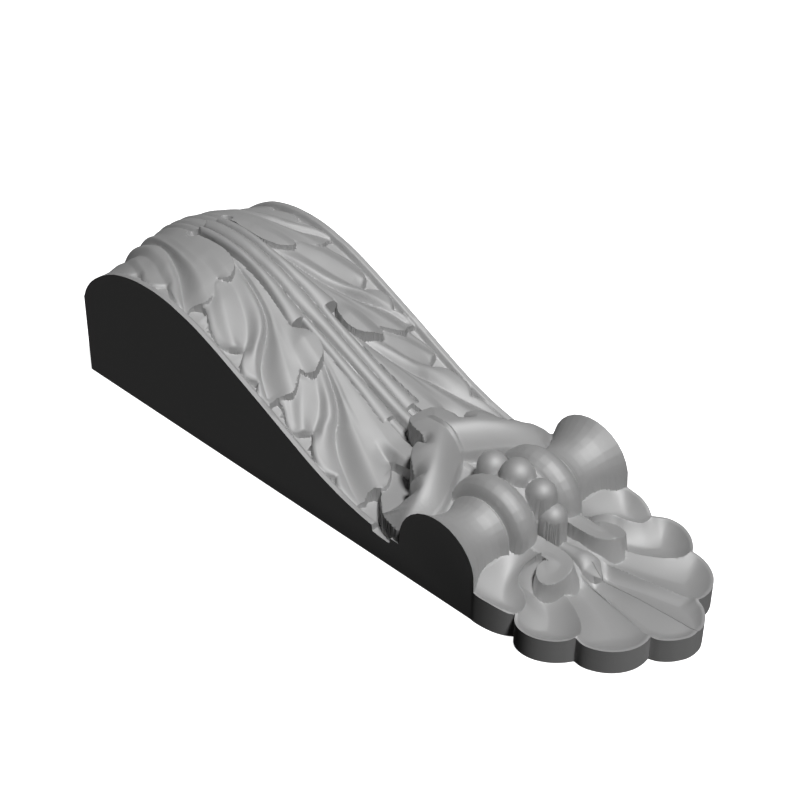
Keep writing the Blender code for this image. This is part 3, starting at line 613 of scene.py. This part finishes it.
@dataclass(frozen=True)
class Calyx:
    """Two curled leaves that meet in the middle and cover the end of the big leaf."""

    edge: Line = Line((
        ((1.765, -0.01), (1.768, 0.04), (1.79, 0.075), (1.85, 0.10), (1.90, 0.108), (1.932, 0.122)),
        ((1.932, 0.122), (1.92, 0.15), (1.93, 0.19), (1.953, 0.23), (1.99, 0.262), (2.032, 0.285)),
        ((2.032, 0.285), (2.033, 0.31), (2.05, 0.335), (2.075, 0.347)),
        ((2.075, 0.347), (2.052, 0.362), (2.048, 0.404), (2.024, 0.446), (2.006, 0.456), (2.04, 0.474),
         (2.10, 0.488), (2.165, 0.497)),
        ((2.165, 0.497), (2.24, 0.47), (2.30, 0.42), (2.30, -0.01)),
    ))
    folds: tuple[Fold, ...] = (
        Fold(((2.06, 0, 0.27), (2.11, 0.07, 0.26), (2.16, 0.16, 0.26), (2.215, 0.26, 0.25),
              (2.235, 0.35, 0.23), (2.22, 0.45, 0.19))),
        Fold(((2.04, 0, 0.325), (2.085, 0.07, 0.325), (2.13, 0.15, 0.32), (2.19, 0.26, 0.295),
              (2.21, 0.35, 0.265), (2.195, 0.44, 0.215)), 0, 2),
        Fold(((1.91, 0, 0.421), (1.96, 0.06, 0.424), (2.0, 0.12, 0.422), (2.06, 0.20, 0.405),
              (2.10, 0.28, 0.378), (2.13, 0.36, 0.336), (2.14, 0.44, 0.272), (2.15, 0.48, 0.228))),
        Fold(((1.765, 0, 0.388), (1.79, 0.075, 0.396), (1.85, 0.10, 0.402), (1.932, 0.122, 0.398),
              (1.92, 0.15, 0.396), (1.93, 0.19, 0.392), (1.953, 0.23, 0.384), (1.99, 0.262, 0.366),
              (2.032, 0.285, 0.342), (2.033, 0.31, 0.326), (2.05, 0.335, 0.30), (2.053, 0.36, 0.266),
              (2.048, 0.404, 0.245), (2.024, 0.446, 0.225), (2.006, 0.456, 0.216), (2.04, 0.474, 0.216),
              (2.10, 0.488, 0.214), (2.165, 0.497, 0.21)), 2, 0),
    )
    creases: tuple[Points, ...] = (
        ((1.932, 0.122), (1.99, 0.15)), ((2.032, 0.285), (2.09, 0.27)), ((2.075, 0.347), (2.12, 0.34)),
    )
    crease_depth: float = 0.035
    crease_width: float = 0.045
    seam: float = 0.014
    seam_start: tuple[float, float] = (1.82, 1.88)

    def height(self, x: Array, v: Array) -> Array:
        """Works out the height of the calyx.

        Args:
            x: places along the bracket.
            v: distances from its middle.

        Returns:
            The height at each place.
        """
        height = skin(self.folds, x, v)
        for crease in self.creases:
            off, _, share = Line((crease,)).near(x, v)
            height = height - self.crease_depth * (1 - share) * hollow(off, self.crease_width)
        height = height + self.seam * np.clip(1 - v / self.seam, 0, 1) * blend(*self.seam_start, x)
        return np.where(inside(self.edge.course(), x, v), height, NOWHERE)


@dataclass(frozen=True)
class Ridge:
    """A ridge between two flutes: its line, its top at the outline, the gain to its end, and its reach."""

    line: Line
    top: float
    gain: float
    reach: float

    def rise(self, floor: Array, x: Array, v: Array) -> Array:
        """Works out how far the ridge stands above the floor beside it."""
        off, _, share = self.line.near(x, v)
        return (self.top + self.gain * share - floor) * hollow(off, self.reach)


@dataclass(frozen=True)
class Volute:
    """The raised scroll beside the bud: a tilted disc with a shallow bowl in its top."""

    edge: Line = Line((
        ((2.705, 0.168), (2.685, 0.175), (2.678, 0.20), (2.69, 0.23), (2.71, 0.247), (2.735, 0.258),
         (2.77, 0.2545), (2.80, 0.232), (2.815, 0.20), (2.817, 0.16), (2.80, 0.12), (2.765, 0.092),
         (2.73, 0.081), (2.69, 0.077), (2.60, 0.077), (2.50, 0.077)),
    ))
    close: tuple[float, float] = (2.5, 0.16)
    tilt: Graph = Graph(((0.08, 0.205), (0.14, 0.205), (0.20, 0.185), (0.26, 0.158)))
    bowl_depth: float = 0.004
    bowl_reach: float = 0.06
    steep: float = 8
    easy: float = 3.2
    easing: tuple[float, float] = (2.74, 2.82)
    middle_v: float = 0.14

    def over(self, height: Array, x: Array, v: Array) -> Array:
        """Lays the volute over the shell, with steep walls that ease towards the bud and the tip.

        Args:
            height: the height of the shell at each place.
            x: places along the bracket.
            v: distances from its middle.

        Returns:
            The height with the volute.
        """
        off = self.edge.off(x, v)
        top = self.tilt(v)
        slope = self.steep + (self.easy - self.steep) * blend(*self.easing, x + self.middle_v - v)
        bowl = top - self.bowl_depth * blend(0, self.bowl_reach, off)
        disc = inside(np.vstack([self.edge.course(), self.close]), x, v)
        return np.where(disc, bowl, np.maximum(height, top - slope * off))


@dataclass(frozen=True)
class Bud:
    """The bud on the middle line, and the channel it lies in."""

    channel_half: float = 0.11
    channel: Graph = Graph((
        (2.575, 0.14), (2.64, 0.14), (2.70, 0.143), (2.73, 0.143), (2.775, 0.134), (2.80, 0.123),
        (2.83, 0.108), (2.87, 0.093),
    ))
    channel_end: float = 2.87
    channel_ease: float = 0.08
    edge: Graph = Graph((
        (2.60, 0.03), (2.66, 0.03), (2.70, 0.033), (2.73, 0.038), (2.775, 0.049), (2.80, 0.056),
        (2.82, 0.048), (2.84, 0.03), (2.868, 0.001),
    ))
    crest: Graph = Graph((
        (2.60, 0.02), (2.66, 0.022), (2.72, 0.024), (2.77, 0.034), (2.80, 0.034), (2.83, 0.02), (2.868, 0),
    ))
    end: float = 2.868

    def sunk(self, height: Array, x: Array, v: Array) -> Array:
        """Cuts the channel into the shell."""
        channel = self.channel(x)
        risen = blend(self.channel_end - self.channel_ease, self.channel_end, x)
        return np.where(v < self.channel_half, channel + (height - channel) * risen, height)

    def over(self, height: Array, x: Array, v: Array) -> Array:
        """Lays the bud in its channel."""
        edge = self.edge(x)
        bud = self.channel(x) + self.crest(x) * np.sqrt(np.clip(1 - (v / edge) ** 2, 0, 1))
        return np.where((v < edge) & (x < self.end), np.maximum(height, bud), height)


@dataclass(frozen=True)
class Shell:
    """The fluted scallop shell with its volutes and bud."""

    outline: Line = Line((
        ((2.575, 0.50), (2.60, 0.503), (2.65, 0.50), (2.70, 0.49), (2.74, 0.474), (2.775, 0.45)),
        ((2.775, 0.45), (2.795, 0.477), (2.83, 0.498), (2.88, 0.503), (2.93, 0.491), (2.98, 0.462),
         (3.02, 0.422), (3.045, 0.385)),
        ((3.045, 0.385), (3.085, 0.388), (3.13, 0.375), (3.18, 0.345), (3.22, 0.302), (3.245, 0.25),
         (3.252, 0.20), (3.248, 0.158)),
        ((3.248, 0.158), (3.285, 0.142), (3.325, 0.105), (3.352, 0.06), (3.362, 0.03), (3.365, 0)),
    ))
    first: Ridge = Ridge(Line((
        ((2.775, 0.45), (2.775, 0.405), (2.76, 0.368), (2.72, 0.337), (2.67, 0.315), (2.645, 0.275),
         (2.64, 0.23), (2.65, 0.19), (2.668, 0.163), (2.68, 0.142)),
    )), 0.11, 0.08, 0.13)
    second: Ridge = Ridge(Line((
        ((3.045, 0.385), (3.03, 0.335), (2.98, 0.28), (2.91, 0.235), (2.84, 0.205), (2.77, 0.19)),
    )), 0.118, -0.01, 0.15)
    third: Ridge = Ridge(Line((
        ((3.248, 0.158), (3.15, 0.138), (3.05, 0.118), (2.95, 0.10), (2.87, 0.085), (2.80, 0.075)),
    )), 0.112, -0.01, 0.12)
    floors: tuple[float, float, float] = (0.08, 0.055, 0.078)
    first_end: float = 2.62
    lip: Graph = Graph(((2.575, 0.15), (2.66, 0.148), (2.72, 0.136), (2.775, 0.118), (3.40, 0.118)))
    lip_width: float = 0.012
    lip_reach: float = 0.13
    root: float = 0.17
    root_start: float = 2.53
    root_reach: float = 0.20
    scroll: float = 0.20
    scroll_start: float = 0.165
    scroll_reach: float = 0.21
    scroll_power: float = 1.5
    tongue_crest: Graph = Graph(((2.80, 0.083), (2.86, 0.086), (3.07, 0.108), (3.33, 0.119), (3.37, 0.119)))
    tongue_drop: float = 0.03
    tongue_reach: float = 0.08
    crest_share: float = 0.8
    ridge_share: float = 0.75
    volute: Volute = Volute()
    bud: Bud = Bud()

    def flutes(self, to_lip: Array, x: Array, v: Array) -> Array:
        """Works out the height of the scooped flutes, which rise to the ridges, the lip and the volute.

        Args:
            to_lip: distances to the lip's inner edge.
            x: places along the bracket.
            v: distances from its middle.

        Returns:
            The height at each place.
        """
        in_first = (self.first.line.near(x, v)[1] < 0) | (x < self.first_end)
        beyond_second = self.second.line.near(x, v)[1] >= 0
        floor = np.where(in_first, self.floors[0], np.where(beyond_second, self.floors[2], self.floors[1]))
        into_scroll = np.clip(1 - (v - self.scroll_start) / self.scroll_reach, 0, 1) ** self.scroll_power
        return floor + summed(
            *(ridge.rise(floor, x, v) for ridge in (self.first, self.second, self.third)),
            (self.lip(x) - floor) * hollow(to_lip, self.lip_reach),
            (self.root - floor) * hollow(x - self.root_start, self.root_reach) * in_first,
            (self.scroll - floor) * into_scroll * in_first,
        )

    def tongue(self, to_lip: Array, ridge_v: Array, x: Array, v: Array) -> Array:
        """Works out the height of the middle lobe, with a crest along its middle.

        Args:
            to_lip: distances to the lip's inner edge.
            ridge_v: how far from the middle the third ridge is.
            x: places along the bracket.
            v: distances from its middle.

        Returns:
            The height at each place.
        """
        floor = self.tongue_crest(x) - self.tongue_drop
        to_ridge = self.third.line.off(x, v)
        return floor + summed(
            self.tongue_drop * hollow(v, self.crest_share * ridge_v),
            (self.third.top - floor) * hollow(to_ridge, self.ridge_share * self.tongue_reach),
            (self.lip(x) - floor) * hollow(to_lip, self.tongue_reach),
        )

    def height(self, x: Array, v: Array) -> Array:
        """Works out the height of the shell, with the volute and the bud on it.

        Args:
            x: places along the bracket.
            v: distances from its middle.

        Returns:
            The height at each place.
        """
        to_lip = self.outline.off(x, v) - self.lip_width
        ridge_v = np.interp(x, *self.third.line.course()[::-1].T)
        height = np.where(v < ridge_v, self.tongue(to_lip, ridge_v, x, v), self.flutes(to_lip, x, v))
        return self.bud.over(self.volute.over(self.bud.sunk(height, x, v), x, v), x, v)


@dataclass(frozen=True)
class ColdCastResin:
    """Hard resin cast with aluminium powder and left satin: grey, with a broad soft metal sheen."""

    colour: str = "#BCBCBC"
    metallic: float = 0.47
    roughness: float = 0.66
    # The powder's own grain is too fine to show, so it is drawn this coarse.
    grain_mm: float = 0.5
    grain_detail: float = 2
    grain_strength: float = 0.08
    grain_deep_mm: float = 0.2

    def linear(self) -> tuple[float, float, float, float]:
        """Turns the sRGB hex colour to linear values."""
        parts = [int(self.colour[i : i + 2], 16) / 255 for i in (1, 3, 5)]
        red, green, blue = (c / 12.92 if c <= 0.04045 else ((c + 0.055) / 1.055) ** 2.4 for c in parts)
        return red, green, blue, 1

    def add(
        self,
        tree: bpy.types.NodeTree,
        kind: str,
        settings: dict[str, float],
        links: dict[str, bpy.types.NodeSocket],
    ) -> bpy.types.Node:
        """Adds a node.

        Args:
            tree: the material's nodes.
            kind: the node's type name.
            settings: input values by socket name.
            links: for each input name, the output socket that feeds it.

        Returns:
            The new node.
        """
        node = tree.nodes.new(kind)
        for name, value in settings.items():
            node.inputs[name].default_value = value
        for name, socket in links.items():
            tree.links.new(socket, node.inputs[name])
        return node

    def material(self) -> bpy.types.Material:
        """Makes the material, with a fine grain in its bump.

        Returns:
            The new material.
        """
        made = bpy.data.materials.new("cold_cast_resin")
        made.use_nodes = True
        tree = made.node_tree
        shader = tree.nodes["Principled BSDF"]
        shader.inputs["Base Color"].default_value = self.linear()
        shader.inputs["Roughness"].default_value = self.roughness
        shader.inputs["Metallic"].default_value = self.metallic
        place = tree.nodes.new("ShaderNodeTexCoord").outputs["Object"]
        noise = {"Scale": 1000 / self.grain_mm, "Detail": self.grain_detail}
        grain = self.add(tree, "ShaderNodeTexNoise", noise, {"Vector": place})
        relief = {"Strength": self.grain_strength, "Distance": self.grain_deep_mm / 1000}
        bump = self.add(tree, "ShaderNodeBump", relief, {"Height": grain.outputs["Fac"]})
        tree.links.new(bump.outputs["Normal"], shader.inputs["Normal"])
        return made


@dataclass
class Bracket:
    """The whole bracket: one carved piece with a flat back."""

    body_end: float = 2.575
    fan_end: float = 2.80
    leaf_end: float = 2.10
    leaf_end_top: float = 0.155
    flare_start: float = 2.168
    shell_start: float = 2.5
    under_baluster: float = 0.10
    cell: float = 0.0046
    wall_reach: float = 0.62
    wall_gap: float = 0.0008
    most_triangles: int = 190_000
    sharp_angle: float = 40
    body: Body = field(default_factory=Body)
    baluster: Baluster = field(default_factory=Baluster)
    calyx: Calyx = field(default_factory=Calyx)
    shell: Shell = field(default_factory=Shell)

    def height(self, x: Array, v: Array) -> Array:
        """Works out the height of the carved face.

        Args:
            x: places along the bracket.
            v: distances from its middle.

        Returns:
            The height at each place.
        """
        back = np.where(x < self.leaf_end, self.body.height(x, v), self.leaf_end_top)
        front = np.where(x < self.shell_start, self.under_baluster, self.shell.height(x, v))
        ground = np.where(x > self.flare_start, front, back)
        return np.maximum.reduce([ground, self.calyx.height(x, v), self.baluster.height(x, v)])

    def walls(self) -> list[Line]:
        """Lists every line where the carving steps down."""
        flare = Line((((self.flare_start, 0), (self.flare_start, HALF)),), steps=1)
        return [*self.body.walls(), flare, *self.baluster.walls(), self.calyx.edge, self.shell.volute.edge]

    def stations(self) -> Array:
        """Lists the lengths along the outline where the mesh has a row, with one at each corner of it.

        Returns:
            The lengths, from the thick end to the shell's tip.
        """
        corners = [0.0, self.body_end]
        for stretch in self.shell.outline.stretches:
            steps = np.diff(Line((stretch,)).course(), axis=0)
            corners.append(corners[-1] + np.hypot(*steps.T).sum())
        rows = [
            np.linspace(start, end, round((end - start) / self.cell), endpoint=False)
            for start, end in zip(corners, corners[1:])
        ]
        return np.concatenate([*rows, corners[-1:]])

    def plan(self, here: Array, reach: Array) -> tuple[Array, Array]:
        """Turns grid places into plan.

        Args:
            here: lengths along the outline.
            reach: shares of the way from the middle to the outline.

        Returns:
            The x and v of each place.
        """
        edge = np.vstack([[0, HALF], self.shell.outline.course()])
        lengths = np.concatenate([[0], np.cumsum(np.hypot(*np.diff(edge, axis=0).T))])
        edge_x, edge_v = np.interp(here, lengths, edge[:, 0]), np.interp(here, lengths, edge[:, 1])
        past = np.clip((here - self.body_end) / (lengths[-1] - self.body_end), 0, 1)
        middle = np.minimum(here, self.body_end) + (self.fan_end - self.body_end) * past
        return middle + reach * (edge_x - middle), reach * edge_v

    def mesh(self, width: float) -> bpy.types.Mesh:
        """Builds half of the bracket: a grid raised to the carving, with walls down to the flat back.

        Args:
            width: the bracket's width in metres.

        Returns:
            The half mesh, open in the plane of symmetry.
        """
        stations = self.stations()
        columns = round(HALF / self.cell)
        bm = bmesh.new()
        bmesh.ops.create_grid(bm, x_segments=len(stations) - 1, y_segments=columns, size=0.5)
        grid = np.array([vert.co for vert in bm.verts])
        row = np.rint((grid[:, 0] + 0.5) * (len(stations) - 1)).astype(int)
        reach = np.rint((grid[:, 1] + 0.5) * columns) / columns
        x, v = self.plan(stations[row], reach)
        inner = (reach > 0) & (reach < 1) & (row > 0)
        held_x, held_v = x[inner], v[inner]
        # Places near a wall of the carving go to its top and foot, so that it stands straight.
        for line in self.walls():
            held_x, held_v = line.hold(held_x, held_v, self.wall_reach * self.cell, self.wall_gap)
        x[inner], v[inner] = held_x, np.maximum(held_v, self.wall_gap)
        places = np.stack([x - ORIGIN_X, v, self.height(x, v)], 1) * width
        for vert, place in zip(bm.verts, places):
            vert.co = place
        # Places drawn to the same spot become one.
        bmesh.ops.remove_doubles(bm, verts=bm.verts, dist=TOUCHING)
        rim = [e for e in bm.edges if e.is_boundary and max(end.co.y for end in e.verts) > TOUCHING]
        walls = bmesh.ops.extrude_edge_only(bm, edges=rim)["geom"]
        for vert in walls:
            if isinstance(vert, bmesh.types.BMVert):
                vert.co.z = 0
        foot = [e for e in bm.edges if e.is_boundary and all(end.co.z == 0 for end in e.verts)]
        bmesh.ops.contextual_create(bm, geom=foot)
        bmesh.ops.recalc_face_normals(bm, faces=bm.faces)
        mesh = bpy.data.meshes.new("carving")
        bm.to_mesh(mesh)
        bm.free()
        return mesh

    def build(self, width: float, finish: ColdCastResin) -> bpy.types.Object:
        """Makes the finished piece.

        Args:
            width: the bracket's width in metres.
            finish: the surface finish.

        Returns:
            The bracket's object.
        """
        piece = bpy.data.objects.new("carving", self.mesh(width))
        bpy.context.scene.collection.objects.link(piece)
        mirror = piece.modifiers.new("other half", "MIRROR")
        mirror.use_axis = (False, True, False)
        mirror.merge_threshold = 10 * TOUCHING
        triangles = 2 * sum(len(face.vertices) - 2 for face in piece.data.polygons)
        fewer = piece.modifiers.new("fewer faces", "DECIMATE")
        fewer.ratio = min(1, self.most_triangles / triangles)
        bpy.context.view_layer.update()
        evaluated = piece.evaluated_get(bpy.context.evaluated_depsgraph_get())
        finished = bpy.data.meshes.new_from_object(evaluated)
        piece.modifiers.clear()
        piece.data = finished
        finished.shade_smooth()
        finished.set_sharp_from_angle(angle=math.radians(self.sharp_angle))
        finished.materials.append(finish.material())
        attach(piece, "root")
        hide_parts(NODE)
        return piece


@dataclass(frozen=True)
class Sun:
    """A soft light: where it is from the bracket, its watts per square metre and its width in degrees."""

    towards: tuple[float, float, float]
    strength: float
    softness: float


class Side(Enum):
    """The sides that light comes from."""

    KEY = Sun((0.393, -0.041, 0.919), 2.75, 10)
    BEHIND = Sun((-0.6, 0.75, 0.25), 0.12, 30)


@dataclass
class Studio:
    """A plain pale floor, soft lights and the photograph's camera."""

    width: float
    # In metres.
    floor_reach: float = 3
    floor_below: float = 0.0002
    paper: float = 0.95
    paper_glow: float = 1.0
    sky_shade: float = 0.008
    lens_mm: float = 82.65
    sensor_mm: float = 36.0
    # The camera's place in widths of the bracket, and the ways that its picture's axes and its lens point.
    eye: tuple[float, float, float] = (6.3496, -4.7948, 5.2125)
    right: tuple[float, float, float] = (0.70983, 0.70430, 0.00998)
    down: tuple[float, float, float] = (0.41597, -0.40771, -0.81286)
    ahead: tuple[float, float, float] = (-0.56843, 0.58115, -0.58237)

    def camera(self) -> bpy.types.Object:
        """Places the camera where the photograph was taken from.

        Returns:
            The camera.
        """
        data = bpy.data.cameras.new("camera")
        data.lens = self.lens_mm
        data.sensor_width = self.sensor_mm
        camera = bpy.data.objects.new("camera", data)
        axes = Matrix((self.right, -Vector(self.down), -Vector(self.ahead))).transposed()
        place = (Vector(self.eye) - Vector((ORIGIN_X, 0, 0))) * self.width
        camera.matrix_world = Matrix.Translation(place) @ axes.to_4x4()
        bpy.context.scene.collection.objects.link(camera)
        bpy.context.scene.camera = camera
        return camera

    def floor(self) -> bpy.types.Object:
        """Lays the pale floor, which glows white but sends no light to the bracket.

        Returns:
            The floor.
        """
        bm = bmesh.new()
        bmesh.ops.create_grid(bm, x_segments=1, y_segments=1, size=self.floor_reach)
        mesh = bpy.data.meshes.new("floor")
        bm.to_mesh(mesh)
        bm.free()
        floor = bpy.data.objects.new("floor", mesh)
        floor.location.z = -self.floor_below
        paper = bpy.data.materials.new("white_paper")
        paper.use_nodes = True
        shader = paper.node_tree.nodes["Principled BSDF"]
        shader.inputs["Base Color"].default_value = (self.paper, self.paper, self.paper, 1)
        shader.inputs["Emission Color"].default_value = (1, 1, 1, 1)
        shader.inputs["Emission Strength"].default_value = self.paper_glow
        mesh.materials.append(paper)
        floor.visible_diffuse = False
        floor.visible_glossy = False
        bpy.context.scene.collection.objects.link(floor)
        return floor

    def sun(self, side: Side) -> bpy.types.Object:
        """Hangs a soft light.

        Args:
            side: the side that it shines from.

        Returns:
            The light.
        """
        data = bpy.data.lights.new(side.name.lower(), "SUN")
        data.energy = side.value.strength
        data.angle = math.radians(side.value.softness)
        light = bpy.data.objects.new(data.name, data)
        light.rotation_euler = Vector(side.value.towards).to_track_quat("Z", "Y").to_euler()
        bpy.context.scene.collection.objects.link(light)
        return light

    def sky(self) -> None:
        """Sets the even light from all round."""
        world = bpy.data.worlds.new("studio")
        world.use_nodes = True
        colour = (self.sky_shade, self.sky_shade, self.sky_shade, 1)
        world.node_tree.nodes["Background"].inputs["Color"].default_value = colour
        bpy.context.scene.world = world
        bpy.context.scene.view_settings.view_transform = "Standard"


def main() -> None:
    """Builds the pieces in order and reports the carving's faces."""
    logging.basicConfig(level=logging.INFO, format="%(message)s")
    low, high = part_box(NODE)
    width = (high[0] - low[0]) / LENGTH
    studio = Studio(width)
    studio.camera()
    studio.floor()
    for side in Side:
        studio.sun(side)
    studio.sky()
    piece = Bracket().build(width, ColdCastResin())
    LOG.info("%s: %d faces", piece.name, len(piece.data.polygons))


if __name__ == "__main__":
    main()
